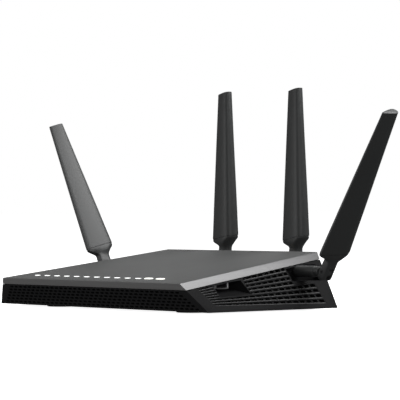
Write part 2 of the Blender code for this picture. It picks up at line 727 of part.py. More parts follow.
def make_top_controls(root):
    """The light guide's bar and studs, and the two buttons beside them."""
    half_width, half_depth = (size / 2 for size in LIGHT_SIZE)
    bar_low, bar_high = 23.4, top_z(ROW_Y) - ROOF - 0.6
    stud_high = top_z(ROW_Y) + 0.4
    first, last = LIGHT_X[0] - 5, LIGHT_X[-1] + 5
    leg = 2.5
    foot = BOARD_TOP + GAP
    points = [(first, foot), (first + leg, foot), (first + leg, bar_low), (last - leg, bar_low), (last - leg, foot),
              (last, foot), (last, bar_high)]
    for x in reversed(LIGHT_X):
        points += [(x + half_width, bar_high), (x + half_width, stud_high),
                   (x - half_width, stud_high), (x - half_width, bar_high)]
    points.append((first, bar_high))
    bm = bmesh.new()
    upright = Matrix.Translation((0, ROW_Y + half_depth, 0)) @ Matrix.Rotation(math.pi / 2, 4, "X")
    add_outline(bm, points, 0, 2 * half_depth, upright)
    object_from(bm, "light_guide", "light_guide", root)

    for name, x in TOP_BUTTON_X.items():
        bm = bmesh.new()
        cap = slot_outline(x, ROW_Y, TOP_BUTTON_SIZE)
        flange = slot_outline(x, ROW_Y, TOP_BUTTON_SIZE, 1.0)
        flange_low, flange_high = 23.0, bar_high - 0.3
        place = [(flange, flange_low), (flange, flange_high), (cap, flange_high), (cap, top_z(ROW_Y) + 0.6)]
        add_loft(bm, [[(px, py, z) for px, py in ring] for ring, z in place])
        object_from(bm, name, "light_guide", root)


# ---------------------------------------------------------------- antennas

AXES = {
    # name: pivot, turn that takes local +Z to the connector's outward direction
    "left": ((-POCKET_X - PIVOT_REACH, *SIDE_AXIS), Matrix(((0, 0, -1), (0, 1, 0), (1, 0, 0)))),
    "right": ((POCKET_X + PIVOT_REACH, *SIDE_AXIS), Matrix(((0, 0, 1), (0, 1, 0), (-1, 0, 0)))),
    "rear_left": ((-REAR_AXIS[0], REAR_PIVOT_Y, REAR_AXIS[1]), Matrix(((0, 1, 0), (0, 0, 1), (1, 0, 0)))),
    "rear_right": ((REAR_AXIS[0], REAR_PIVOT_Y, REAR_AXIS[1]), Matrix(((0, 1, 0), (0, 0, 1), (1, 0, 0)))),
}
BLADE_TURNS = {
    "left": Matrix.Rotation(-SIDE_TILT, 3, "Y"),
    "right": Matrix.Rotation(SIDE_TILT, 3, "Y"),
    "rear_left": Matrix.Rotation(-math.pi / 2, 3, "Z"),
    "rear_right": Matrix.Rotation(-math.pi / 2, 3, "Z"),
}


def blade_section(z, width, thickness, nose, shift=0.0, slant=0.0):
    """One ring of the blade: narrow at the nose (-Y), with crowned flanks and a flat back with round corners."""
    front = shift - width / 2
    back = shift + width / 2
    corner = 0.46 * thickness
    start = front + 0.04 * width
    reach = back - corner - start
    flank = [(front, nose * 0.3)]
    for i in range(5):
        share = i / 4
        swell = 1 - (1 - share) ** 1.5
        flank.append((start + reach * share, nose / 2 + (thickness - nose) / 2 * swell))
    for turn in (math.pi / 6, math.pi / 3, math.pi / 2):
        flank.append((back - corner * (1 - math.sin(turn)), thickness / 2 - corner * (1 - math.cos(turn))))
    points = [(x, y) for y, x in flank] + [(-x, y) for y, x in reversed(flank)]
    return [(x, y, z + slant * y) for x, y in points]


def make_blade(name, parent):
    """Knuckle, neck, shoulder and tapered blade, upright on the hinge at the origin."""
    rings = [
        # height, width, thickness, nose, shift along Y, slant
        blade_section(-7.6, 11.2, 3.8, 3.4),
        blade_section(-6.7, 12.2, 6.2, 5.8),
        blade_section(-5.0, 12.6, 7.9, 7.5),
        blade_section(-3.0, 12.6, 8.2, 7.8),
        blade_section(10.5, 12.6, 8.2, 7.6),
        blade_section(12.6, 14.0, 8.7, 6.4, -0.1, 0.4 * BLADE_SLANT),
        blade_section(14.4, 18.0, 9.9, 5.5, -0.4, 0.8 * BLADE_SLANT),
        blade_section(18.0, 28.4, 13.0, 4.0, -1.3, BLADE_SLANT),
        blade_section(20.5, 30.7, 14.3, 3.6, -1.6, BLADE_SLANT),
        blade_section(22.5, 30.8, 14.4, 3.6, -1.6, BLADE_SLANT),
        blade_section(BLADE_LENGTH - 0.5, 16.1, 7.9, 1.9, -1.5, BLADE_SLANT),
        blade_section(BLADE_LENGTH, 15.4, 7.2, 1.4, -1.5, BLADE_SLANT),
    ]
    bm = bmesh.new()
    add_loft(bm, rings)
    blade = object_from(bm, f"{name}_antenna_blade", "antenna_black", parent)
    slot = bmesh.new()
    add_box(slot, (-10, -SLOT_HALF, -12), (10, SLOT_HALF, SLOT_TOP))
    cut(blade, slot)
    pocket = bmesh.new()
    add_box(pocket, (-0.9, -2.0, 2.0), (0.9, 2.0, 126.0))
    cut(blade, pocket)
    bore = bmesh.new()
    turn = Matrix.Rotation(math.pi / 2, 4, "X")
    add_disc(bore, PIN_RADIUS + GAP, -9, 9, sides=12, place=turn)
    cut(blade, bore)

    bm = bmesh.new()
    add_disc(bm, PIN_RADIUS, -PIN_HALF, PIN_HALF, sides=12, place=turn)
    object_from(bm, f"{name}_hinge_pin", "steel", parent)
    bm = bmesh.new()
    add_box(bm, (-0.5, -1.6, SLOT_TOP + 1.0), (0.5, 1.6, 124.0))
    object_from(bm, f"{name}_radiator", "brass", parent)


def make_antenna_base(name, parent):
    """The swivelling base: collar, ring and hinge tongue, with the hinge at the origin."""
    bm = bmesh.new()
    bore_end = -COLLAR_START + 12.0
    bore = JACK_RADIUS + GAP
    profile = [
        (0, bore_end), (bore, bore_end), (bore, -COLLAR_START), (COLLAR_RADIUS - 0.4, -COLLAR_START),
        (COLLAR_RADIUS, -COLLAR_START + 0.5), (COLLAR_RADIUS, -RING_START), (RING_RADIUS, -RING_START + 0.6),
        (RING_RADIUS, -RING_END), (0, -RING_END),
    ]
    add_turned(bm, profile, sides=20)
    base = object_from(bm, f"{name}_antenna_base", "antenna_black", parent)
    tongue = bmesh.new()
    r = TONGUE_RADIUS
    ends = [math.radians(-90 + 180 * i / 8) for i in range(9)]
    arc = [(r * math.sin(-a), r * math.cos(a)) for a in ends]
    outline = [(r, -RING_END - 2.5)] + arc + [(-r, -RING_END - 2.5)]
    stand = Matrix(((1, 0, 0, 0), (0, 0, 1, 0), (0, 1, 0, 0), (0, 0, 0, 1)))
    add_outline(tongue, outline, -TONGUE_HALF, TONGUE_HALF, stand)
    cut(base, tongue, "UNION")
    bore = bmesh.new()
    add_disc(bore, PIN_RADIUS + GAP, -9, 9, sides=12, place=Matrix.Rotation(math.pi / 2, 4, "X"))
    cut(base, bore)


def make_jack(name, parent, wall):
    """The threaded jack through the case wall, and its nut. The wall's outer face is at z = -wall."""
    inside = -wall - 2.0 - GAP
    profile = [
        (0, inside - 7.0), (2.2, inside - 7.0), (2.2, inside - 3.0), (3.8, inside - 3.0), (3.8, inside),
        (JACK_RADIUS, inside), (JACK_RADIUS, -COLLAR_START + 10.5), (JACK_RADIUS - 0.6, -COLLAR_START + 11.3),
        (0, -COLLAR_START + 11.3),
    ]
    bm = bmesh.new()
    add_turned(bm, profile, sides=16)
    object_from(bm, f"{name}_antenna_jack", "brass", parent)
    bm = bmesh.new()
    low, high = -wall + GAP, min(-wall + 1.6, -COLLAR_START - GAP)
    add_disc(bm, 4.3, low, high, sides=6)
    nut = object_from(bm, f"{name}_jack_nut", "steel", parent)
    hole = bmesh.new()
    add_disc(hole, JACK_RADIUS + GAP, low - 3, high + 3, sides=16)
    cut(nut, hole)


def make_lead(name, points, root):
    """The thin coaxial lead from the board to a jack's inner end."""
    data = bpy.data.curves.new(f"{name}_antenna_lead", "CURVE")
    data.dimensions = "3D"
    data.bevel_depth = 0.7 * MM
    data.bevel_resolution = 1
    data.use_fill_caps = True
    spline = data.splines.new("POLY")
    smooth = smooth_route(points, 5)
    spline.points.add(len(smooth) - 1)
    for point, place in zip(spline.points, smooth):
        point.co = (*(place * MM), 1.0)
    data.materials.append(material_of("lead_grey"))
    obj = bpy.data.objects.new(data.name, data)
    bpy.context.collection.objects.link(obj)
    obj.parent = root


def smooth_route(points, steps):
    """A Catmull-Rom curve through the points."""
    points = [Vector(p) for p in points]
    padded = [2 * points[0] - points[1], *points, 2 * points[-1] - points[-2]]
    route = []
    for a, b, c, d in zip(padded, padded[1:], padded[2:], padded[3:]):
        for i in range(steps):
            t = i / steps
            route.append(0.5 * (2 * b + (c - a) * t + (2 * a - 5 * b + 4 * c - d) * t * t
                                + (3 * b - 3 * c + d - a) * t ** 3))
    return route + [points[-1]]


def make_antennas(root):
    for name, (pivot, turn) in AXES.items():
        rear = name.startswith("rear")
        wall = REAR_PIVOT_Y - PANEL_Y if rear else PIVOT_REACH
        fixed = empty(f"{name}_jack_axis", pivot, turn, root)
        make_jack(name, fixed, wall)
        swivel = empty(f"{name}_swivel_axis", pivot, turn, root)
        make_antenna_base(name, swivel)
        hinge = empty(f"{name}_fold_axis", pivot, BLADE_TURNS[name], root)
        make_blade(name, hinge)
    inner = WALL + GAP + 7.0 + GAP
    side_y, side_z = SIDE_AXIS
    rear_x, rear_z = REAR_AXIS
    for side, sign in (("left", -1), ("right", 1)):
        start = (sign * (POCKET_X - inner), side_y, side_z)
        route = [start, (sign * 92, side_y, side_z), (sign * 82, 30, 31.5), (sign * 70, 12, 27), (sign * 64, 5, 24.6)]
        make_lead(side, route, root)
        start = (sign * rear_x, PANEL_Y - inner, rear_z)
        route = [start, (sign * rear_x, 43, rear_z), (sign * 46, 33, 37), (sign * 42, 18, 29), (sign * 40, 6, 24.6)]
        make_lead(f"rear_{side}", route, root)


def main():
    clear_scene()
    root = empty("router", (0, 0, 0))
    make_lower_case(root)
    make_rear_panel(root)
    make_feet(root)
    make_board(root)
    make_chips(root)
    make_ethernet(root)
    make_side_ports(root)
    make_power(root)
    make_rear_controls(root)
    make_top_controls(root)
    make_screws(root)
    make_antennas(root)
    make_top_cover(root)


main()
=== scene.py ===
"""Looks of the wireless router: finished shells, grilles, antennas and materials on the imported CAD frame.

Lengths are millimetres unless a name ends in _M or _m, and every mesh is written in metres.
X runs along the front, Y from the front to the back and Z up, as in the CAD.
"""

import math

import bmesh
import bpy
from mathutils import Matrix, Vector


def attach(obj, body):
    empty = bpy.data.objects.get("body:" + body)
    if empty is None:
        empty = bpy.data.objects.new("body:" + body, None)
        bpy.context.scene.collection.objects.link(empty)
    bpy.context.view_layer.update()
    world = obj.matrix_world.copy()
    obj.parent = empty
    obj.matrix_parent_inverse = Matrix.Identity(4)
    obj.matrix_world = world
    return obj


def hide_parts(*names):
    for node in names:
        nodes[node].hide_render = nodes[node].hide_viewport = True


MM = 0.001
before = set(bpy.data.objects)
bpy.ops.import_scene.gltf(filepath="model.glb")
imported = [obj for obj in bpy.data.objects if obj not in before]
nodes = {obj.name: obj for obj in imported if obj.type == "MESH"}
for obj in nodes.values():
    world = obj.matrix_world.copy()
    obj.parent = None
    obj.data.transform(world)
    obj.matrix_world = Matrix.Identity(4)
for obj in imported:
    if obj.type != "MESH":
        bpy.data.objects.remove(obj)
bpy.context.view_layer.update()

# Case, as in the CAD: sides and planes of the wedge.
FOOT_HEIGHT = 1.8
HALF_WIDTH = 142.5
FRONT_BASE_Y = -91.3
REAR_BASE_Y = 59.8
FRONT_TOP_Z = 26.0
REAR_TOP_Z = 50.0
SIDE_LEAN = 0.864
FRONT_LEAN = 0.575
REAR_LEAN = 0.32
FRONT_TOP_Y = FRONT_BASE_Y - FRONT_LEAN * (FRONT_TOP_Z - FOOT_HEIGHT)
REAR_TOP_Y = REAR_BASE_Y + REAR_LEAN * (REAR_TOP_Z - FOOT_HEIGHT)
TOP_RISE = (REAR_TOP_Z - FRONT_TOP_Z) / (REAR_TOP_Y - FRONT_TOP_Y)
SIDE_NORMAL = Vector((1, 0, SIDE_LEAN)).normalized()
FRONT_NORMAL = Vector((0, -1, -FRONT_LEAN)).normalized()
WALL = 2.0
ROOF = 2.2
BAND = 6.2
RIM_GAP = 0.3
FLOOR_Z = FOOT_HEIGHT + WALL
EDGE_ROUND = 0.55
CASE_ROUND = 0.7
NODE_BEVEL = 0.15  # on the nodes that keep their CAD shape
# A near-black sheet behind the grilles: painted shade inside the case.
SHADE_SHEET_INSET = 3.4
SHADE_SHEET_THICKNESS = 0.4
FOOT_X = 89.0
FOOT_Y = {"front": -62.4, "rear": 34.0}
FOOT_RADIUS = 13.5
FOOT_GAP = 0.05
CASE_MATERIALS = ("case", "case_front", "slat_highlight")
COVER_MATERIALS = ("top", "band_front", "band_side")

# Grilles. A row is a groove along the wall with slots cut through its floor.
SIDE_ROWS = 8
SIDE_LOW = 8.25
SIDE_RISE = 0.0025
SIDE_PITCH = 1.92
SIDE_SPREAD = 0.0190
SIDE_SHARES = (0.46, 0.58)  # a groove's height as a share of the pitch, front and rear
SIDE_FRONT = -81.0
SIDE_REAR = 48.5
SIDE_FROM_CREASE = 15.5
SLOT_PITCH = 7.7
SLOT_LENGTH = 5.7
SHORTEST_SLOT = 1.5
GROOVE_DEPTHS = (1.1, 0.5)  # front and rear
GROOVE_OVERRUN = 0.4
SLOT_IN_GROOVE = 0.94
RIB_SLOPE = 0.24
RIB_DROP = 0.65
FULL_ROWS = 3  # these pass below both recesses
ROWS_BELOW_ANTENNA = 4
ROWS_BESIDE_PORT = 6  # above these the port recess takes more of each row
RECESS_MARGIN = 0.9
CUT_REACH = (-4.0, 2.0)  # a cutter's ends, along the wall's normal
FRONT_ROWS = 6
FRONT_LOW = 4.4
FRONT_PITCH = 2.75
FRONT_HOLE = (4.7, 1.6)
FRONT_HOLE_PITCH = 6.5
FRONT_EDGE = 9.0

# Recesses in the side walls
POCKET_X = 110.0
LINER = 2.0
LINER_TOP = 39.9
PORT_POCKET_Y = (-69.0, -32.0)
PORT_POCKET_FLOOR = (14.4, 16.0)
ANTENNA_POCKET_Y = (24.7, 63.5)
ANTENNA_POCKET_FLOOR = (25.3, 25.3)
POCKET_MOUTH_X = 130.0
PORT_POCKET_RISE = 4.2
PORT_POCKET_LEAN = 6.6
PORT_LOW = 20.5
PORT_GAP = 0.6
PORT_SHELL_DEPTH = 13.5
USB_SIZE = (13.0, 6.0)
USB_Y = {"usb_port_rear": -47.8, "usb_port_front": -62.4}
ESATA_Y = -46.1
ESATA_SIZE = (12.0, 4.8)

# Indicators and buttons
ROW_Y = -86.8
LIGHT_X = [-93.3 + 14.04 * i for i in range(11)]
LIGHT_SIZE = (5.4, 3.0)
LIGHT_RISE = 0.25
TOP_BUTTON_X = {"wifi_button": 60.8, "wps_button": 76.0}
TOP_BUTTON_SIZE = (9.8, 4.4)

# Antennas
POCKET_REACH = 39.4
COLLAR_RADIUS = 5.0
RING_RADIUS = 4.4
COLLAR_START = 37.4
RING_START = 13.4
RING_END = 8.0
TONGUE_HALF = 2.0
TONGUE_RADIUS = 4.0
SLOT_HALF = 2.3
SLOT_TOP = 4.6
PIN_RADIUS = 1.5
PIN_HALF = 5.9
PIN_PLAY = 0.12
COLLAR_BORE = 3.1
COLLAR_BORE_DEPTH = 12.0
BLADE_LENGTH = 156.1
BLADE_SLANT = math.tan(math.radians(9.0))
SIDE_TILT = math.radians(29.5)
AXES = {
    "left": (-POCKET_X - POCKET_REACH, 39.4, 33.7),
    "right": (POCKET_X + POCKET_REACH, 39.4, 33.7),
    "rear_left": (-47.7, 100.4, 41.0),
    "rear_right": (47.7, 100.4, 41.0),
}
BASE_TURNS = {
    "left": Matrix(((0, 0, -1), (0, 1, 0), (1, 0, 0))),
    "right": Matrix(((0, 0, 1), (0, 1, 0), (-1, 0, 0))),
    "rear_left": Matrix(((0, 1, 0), (0, 0, 1), (1, 0, 0))),
    "rear_right": Matrix(((0, 1, 0), (0, 0, 1), (1, 0, 0))),
}
BLADE_TURNS = {
    "left": Matrix.Rotation(-SIDE_TILT, 3, "Y"),
    "right": Matrix.Rotation(SIDE_TILT, 3, "Y"),
    "rear_left": Matrix.Rotation(-math.pi / 2, 3, "Z"),
    "rear_right": Matrix.Rotation(-math.pi / 2, 3, "Z"),
}

# Camera, at the photograph's viewing angle
CAMERA_M = (1.62951, -1.42077, 0.08755)
CAMERA_HEADING = math.radians(48.402)
CAMERA_PITCH = math.radians(0.2255)
CAMERA_ROLL = math.radians(-0.072)
CAMERA_LENS_MM = 216.96


# ---------------------------------------------------------------- planes of the case


def plane(normal, point, inset=0.0):
    normal = Vector(normal).normalized()
    return normal, normal.dot(Vector(point)) - inset


def side_plane(sign, inset=0.0):
    return plane((sign, 0, SIDE_LEAN), (sign * HALF_WIDTH, 0, FOOT_HEIGHT), inset)


def front_plane(inset=0.0):
    return plane((0, -1, -FRONT_LEAN), (0, FRONT_BASE_Y, FOOT_HEIGHT), inset)


def rear_plane(inset=0.0):
    return plane((0, 1, -REAR_LEAN), (0, REAR_BASE_Y, FOOT_HEIGHT), inset)


def roof_plane(drop=0.0):
    return plane((0, -TOP_RISE, 1), (0, FRONT_TOP_Y, FRONT_TOP_Z - drop))


def level_plane(z):
    return plane((0, 0, 1), (0, 0, z))


def upright_plane(y):
    return plane((0, 1, 0), (0, y, 0))


def meet(a, b, c):
    rows = Matrix((a[0], b[0], c[0]))
    return rows.inverted() @ Vector((a[1], b[1], c[1]))


def top_z(y):
    return FRONT_TOP_Z + TOP_RISE * (y - FRONT_TOP_Y)


def side_x(z):
    return HALF_WIDTH - SIDE_LEAN * (z - FOOT_HEIGHT)


def front_y(z):
    return FRONT_BASE_Y - FRONT_LEAN * (z - FOOT_HEIGHT)


# ---------------------------------------------------------------- mesh helpers


def add_corners(bm, corners):
    verts = [bm.verts.new(c) for c in corners]
    bm.faces.new(verts[3::-1])
    bm.faces.new(verts[4:])
    for i in range(4):
        j = (i + 1) % 4
        bm.faces.new((verts[i], verts[j], verts[j + 4], verts[i + 4]))


def add_wedge(bm, left, right, front, rear, low, high):
    around = ((left, front), (right, front), (right, rear), (left, rear))
    add_corners(bm, [meet(side, end, level) for level in (low, high) for side, end in around])


def add_box(bm, low, high):
    (x0, y0, z0), (x1, y1, z1) = low, high
    outline = ((x0, y0), (x1, y0), (x1, y1), (x0, y1))
    add_corners(bm, [(x, y, z) for z in (z0, z1) for x, y in outline])


def add_loft(bm, rings, caps=True):
    verts = [[bm.verts.new(p) for p in ring] for ring in rings]
    for low, high in zip(verts, verts[1:]):
        for i in range(len(low)):
            j = (i + 1) % len(low)
            bm.faces.new((low[i], low[j], high[j], high[i]))
    if caps:
        bm.faces.new(verts[0][::-1])
        bm.faces.new(verts[-1])


def add_prism(bm, outline, low, high, place=None):
    place = place or Matrix.Identity(4)
    add_loft(bm, [[place @ Vector((x, y, z)) for x, y in outline] for z in (low, high)])


def circle(radius, sides, centre=(0.0, 0.0)):
    steps = [2 * math.pi * (i + 0.5) / sides for i in range(sides)]
    return [(centre[0] + radius * math.cos(a), centre[1] + radius * math.sin(a)) for a in steps]


def rounded(width, depth, corner, steps=4, centre=(0.0, 0.0)):
    """A rectangle with round corners."""
    points = []
    for quarter, (sx, sy) in enumerate(((1, 1), (-1, 1), (-1, -1), (1, -1))):
        cx = sx * (width / 2 - corner)
        cy = sy * (depth / 2 - corner)
        for i in range(steps + 1):
            angle = math.pi / 2 * (quarter + i / steps)
            x = centre[0] + cx + corner * math.cos(angle)
            points.append((x, centre[1] + cy + corner * math.sin(angle)))
    return points


def add_turned(bm, profile, sides=48, place=None):
    """A turned solid about Z. The profile's (radius, z) points start and end on the axis."""
    place = place or Matrix.Identity(4)
    rings = []
    for radius, z in profile:
        if radius == 0:
            rings.append([bm.verts.new(place @ Vector((0, 0, z)))] * sides)
        else:
            rings.append([bm.verts.new(place @ Vector((x, y, z))) for x, y in circle(radius, sides)])
    for low, high in zip(rings, rings[1:]):
        for i in range(sides):
            j = (i + 1) % sides
            corners = list(dict.fromkeys((low[i], low[j], high[j], high[i])))
            bm.faces.new(corners)


def add_mirrored(bm):
    for face in list(bm.faces):
        bm.faces.new([bm.verts.new((-v.co.x, v.co.y, v.co.z)) for v in reversed(face.verts)])
    bmesh.ops.remove_doubles(bm, verts=bm.verts, dist=1e-4)


def new_object(bm, name, materials=()):
    bmesh.ops.recalc_face_normals(bm, faces=bm.faces)
    mesh = bpy.data.meshes.new(name)
    bm.to_mesh(mesh)
    bm.free()
    mesh.transform(Matrix.Scale(MM, 4))
    mesh.shade_smooth()
    mesh.set_sharp_from_angle(angle=math.radians(35))
    obj = bpy.data.objects.new(name, mesh)
    bpy.context.collection.objects.link(obj)
    for material in materials:
        mesh.materials.append(material)
    return obj


def boolean(obj, bm, operation="DIFFERENCE"):
    """Cuts a bmesh from the object's mesh, or joins it, and keeps only the result."""
    tool = new_object(bm, f"{obj.name}_tool", obj.data.materials)
    modifier = obj.modifiers.new("cut", "BOOLEAN")
    modifier.operation = operation
    modifier.solver = "EXACT"
    modifier.object = tool
    bpy.context.view_layer.update()
    graph = bpy.context.evaluated_depsgraph_get()
    made = bpy.data.meshes.new_from_object(obj.evaluated_get(graph))
    obj.modifiers.clear()
    old, obj.data = obj.data, made
    bpy.data.meshes.remove(old)
    bpy.data.objects.remove(tool)


def soften(obj):
    """A small bevel on the object's sharp edges, as an ordinary modifier."""
    bevel = obj.modifiers.new("Edge", "BEVEL")
    bevel.width = NODE_BEVEL * MM
    bevel.segments = 2
    bevel.limit_method = "ANGLE"
    bevel.angle_limit = math.radians(30)
    bevel.harden_normals = False


def resharpen(obj, angle=35):
    obj.data.shade_smooth()
    obj.data.set_sharp_from_angle(angle=math.radians(angle))


def finish_piece(obj, body, slot, *replaced):
    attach(obj, body)
    if replaced:
        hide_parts(*replaced)


# ---------------------------------------------------------------- materials

MOTTLE_SCALE = 35.0
ROUGH_SPREAD = 0.05


def plastic(name, colour, roughness=0.45, specular=0.5, metallic=0.0, grain=0.0, grain_scale=900.0,
            stretch=(1.0, 1.0, 1.0), mottle=0.06, emission=0.0):
    """A moulded or brushed surface: mottled colour, uneven gloss and a fine grain in the bump."""
    material = bpy.data.materials.new(name)
    material.use_nodes = True
    tree = material.node_tree
    shader = tree.nodes["Principled BSDF"]
    shader.inputs["Metallic"].default_value = metallic
    shader.inputs["Specular IOR Level"].default_value = specular
    place = tree.nodes.new("ShaderNodeTexCoord")
    stretched = tree.nodes.new("ShaderNodeMapping")
    stretched.inputs["Scale"].default_value = stretch
    tree.links.new(place.outputs["Object"], stretched.inputs["Vector"])

    slow = tree.nodes.new("ShaderNodeTexNoise")
    slow.inputs["Scale"].default_value = MOTTLE_SCALE
    slow.inputs["Detail"].default_value = 3.0
    tree.links.new(place.outputs["Object"], slow.inputs["Vector"])
    fine = tree.nodes.new("ShaderNodeTexNoise")
    fine.inputs["Scale"].default_value = grain_scale
    fine.inputs["Detail"].default_value = 4.0
    tree.links.new(stretched.outputs["Vector"], fine.inputs["Vector"])

    shade = tree.nodes.new("ShaderNodeMapRange")
    shade.inputs["To Min"].default_value = 1.0 - mottle
    shade.inputs["To Max"].default_value = 1.0 + mottle
    tree.links.new(slow.outputs["Fac"], shade.inputs["Value"])
    streak = tree.nodes.new("ShaderNodeMapRange")
    streak.inputs["From Min"].default_value = 0.3
    streak.inputs["From Max"].default_value = 0.7
    streak.inputs["To Min"].default_value = 1.0 - grain
    streak.inputs["To Max"].default_value = 1.0 + grain
    tree.links.new(fine.outputs["Fac"], streak.inputs["Value"])
    both = tree.nodes.new("ShaderNodeMath")
    both.operation = "MULTIPLY"
    tree.links.new(shade.outputs["Result"], both.inputs[0])
    tree.links.new(streak.outputs["Result"], both.inputs[1])
    tint = tree.nodes.new("ShaderNodeVectorMath")
    tint.operation = "SCALE"
    tint.inputs[0].default_value = colour
    tree.links.new(both.outputs["Value"], tint.inputs["Scale"])
    tree.links.new(tint.outputs["Vector"], shader.inputs["Base Color"])

    rough = tree.nodes.new("ShaderNodeMapRange")
    rough.inputs["To Min"].default_value = roughness - ROUGH_SPREAD
    rough.inputs["To Max"].default_value = roughness + ROUGH_SPREAD
    tree.links.new(fine.outputs["Fac"], rough.inputs["Value"])
    tree.links.new(rough.outputs["Result"], shader.inputs["Roughness"])
    bump = tree.nodes.new("ShaderNodeBump")
    bump.inputs["Strength"].default_value = 0.25
    bump.inputs["Distance"].default_value = 0.00006
    tree.links.new(fine.outputs["Fac"], bump.inputs["Height"])
    tree.links.new(bump.outputs["Normal"], shader.inputs["Normal"])
    if emission:
        shader.inputs["Emission Color"].default_value = (*colour, 1.0)
        shader.inputs["Emission Strength"].default_value = emission
    return material


MATERIALS = {
    # Painted light and shade: the cover's one grey is split into copies for the top, the front and rear band
    # and the side band, each tuned to the light it gets.
    "top": plastic("top_grey", (0.100, 0.102, 0.101), 0.6, specular=0.05, grain=0.03, grain_scale=1400),
    "band_front": plastic("band_front", (0.22, 0.217, 0.217), 0.42, specular=0.3, grain=0.06,
                          grain_scale=700, stretch=(0.03, 1, 1), mottle=0.05),
    "band_side": plastic("band_side", (0.105, 0.105, 0.106), 0.36, metallic=0.85, grain=0.08, grain_scale=700,
                         stretch=(1, 0.03, 1), mottle=0.03),
    "case": plastic("case_black", (0.010, 0.010, 0.0105), 0.55, specular=0.035, grain=0.05),
    # Painted light and shade: a separately tuned copy of the case black for the faces that look forward.
    "case_front": plastic("case_front_black", (0.014, 0.014, 0.015), 0.6, specular=0.15, grain=0.05),
    "antenna": plastic("antenna_black", (0.033, 0.035, 0.035), 0.48, specular=0.62, grain=0.03,
                       grain_scale=1600),
    # Painted highlight: a lighter copy of the case black for the grooves' sides and lower lips.
    "slat_highlight": plastic("slat_painted_highlight", (0.055, 0.055, 0.056), 0.38, specular=0.5, grain=0.04),
    # Painted shade: the near-black sheet behind the grilles.
    "shade_backing": plastic("painted_shade_sheet", (0.008, 0.008, 0.008), 0.8, specular=0.05, grain=0.1),
    "rubber": plastic("foot_rubber", (0.012, 0.012, 0.012), 0.85, specular=0.2, grain=0.1, grain_scale=500),
    "board": plastic("board_green", (0.015, 0.085, 0.04), 0.4, grain=0.2, grain_scale=260, mottle=0.2),
    "chip": plastic("chip_black", (0.02, 0.02, 0.02), 0.45, grain=0.05),
    "aluminium": plastic("heat_sink_metal", (0.55, 0.56, 0.57), 0.35, metallic=1.0, grain=0.1,
                         stretch=(1, 0.05, 1)),
    "steel": plastic("plated_steel", (0.58, 0.58, 0.57), 0.28, metallic=1.0, grain=0.06, grain_scale=500,
                     stretch=(1, 0.1, 1)),
    "screw": plastic("screw_black_zinc", (0.03, 0.03, 0.032), 0.45, metallic=0.3, grain=0.08,
                     grain_scale=600),
    "port_lip": plastic("socket_nickel", (0.85, 0.85, 0.84), 0.38, metallic=0.35, grain=0.04,
                        grain_scale=500),
    # Painted shade: a darker copy of the socket nickel for the shell's parts inside the wall.
    "port_inside": plastic("socket_painted_shade", (0.16, 0.16, 0.16), 0.5, metallic=0.6, grain=0.04,
                           grain_scale=500),
    "brass": plastic("plated_brass", (0.62, 0.46, 0.20), 0.3, metallic=1.0, grain=0.06),
    "light": plastic("indicator_white", (0.95, 0.96, 0.95), 0.4, mottle=0.02, emission=1.6),
    "button": plastic("button_white", (0.93, 0.93, 0.86), 0.4, mottle=0.02, emission=0.9),
    "port_black": plastic("port_black", (0.014, 0.014, 0.014), 0.4, grain=0.05),
    "port_yellow": plastic("port_yellow", (0.62, 0.36, 0.02), 0.4, grain=0.04),
    "lead": plastic("lead_grey", (0.09, 0.09, 0.09), 0.55, grain=0.15, grain_scale=1500),
}


# ---------------------------------------------------------------- case


def make_cover():
    """The cover: sloping top, rim band and rounded edges, hollow below."""
    bm = bmesh.new()
    add_wedge(bm, side_plane(-1), side_plane(1), front_plane(), rear_plane(), roof_plane(BAND), roof_plane())
    bmesh.ops.bevel(bm, geom=list(bm.edges), offset=EDGE_ROUND, segments=3, profile=0.6, affect="EDGES")
    bmesh.ops.recalc_face_normals(bm, faces=bm.faces)
    # Each face takes the copy of the cover's grey for the way it points: painted light and shade.
    for face in bm.faces:
        if face.normal.z > 0.85:
            face.material_index = COVER_MATERIALS.index("top")
        elif abs(face.normal.x) > 0.5:
            face.material_index = COVER_MATERIALS.index("band_side")
        else:
            face.material_index = COVER_MATERIALS.index("band_front")
    cover = new_object(bm, "cover_shell", [MATERIALS[m] for m in COVER_MATERIALS])

    hollow = bmesh.new()
    walls = (side_plane(-1, WALL), side_plane(1, WALL), front_plane(WALL), rear_plane(WALL))
    add_wedge(hollow, *walls, roof_plane(2 * BAND), roof_plane(ROOF))
    boolean(cover, hollow)

    holes = bmesh.new()
    for x in LIGHT_X:
        add_prism(holes, rounded(LIGHT_SIZE[0] + 0.3, LIGHT_SIZE[1] + 0.3, 0.7, 3, (x, ROW_Y)), 20, 35)
    for x in TOP_BUTTON_X.values():
        width, depth = TOP_BUTTON_SIZE
        add_prism(holes, rounded(width + 0.5, depth + 0.5, depth / 2, 6, (x, ROW_Y)), 20, 35)
    half = COLLAR_RADIUS + 0.6
    turn = Matrix.Rotation(math.pi / 2, 4, "X")
    for name in ("rear_left", "rear_right"):
        x, _, z = AXES[name]
        arch = [(x - half, -12), (x + half, -12)]
        arch += [(x + half * math.cos(a), half * math.sin(a)) for a in [math.pi * i / 12 for i in range(13)]]
        add_prism(holes, arch, -REAR_TOP_Y - 9, -REAR_BASE_Y - 4, Matrix.Translation((0, 0, z)) @ turn)
    boolean(cover, holes)
    resharpen(cover)
    finish_piece(cover, "case", "cover_grey", "top_cover")


def pocket_floor(y, y_ends, floor):
    """The height of a recess's floor, which changes evenly from its front end to its rear end."""
    return floor[0] + (floor[1] - floor[0]) * (y - y_ends[0]) / (y_ends[1] - y_ends[0])


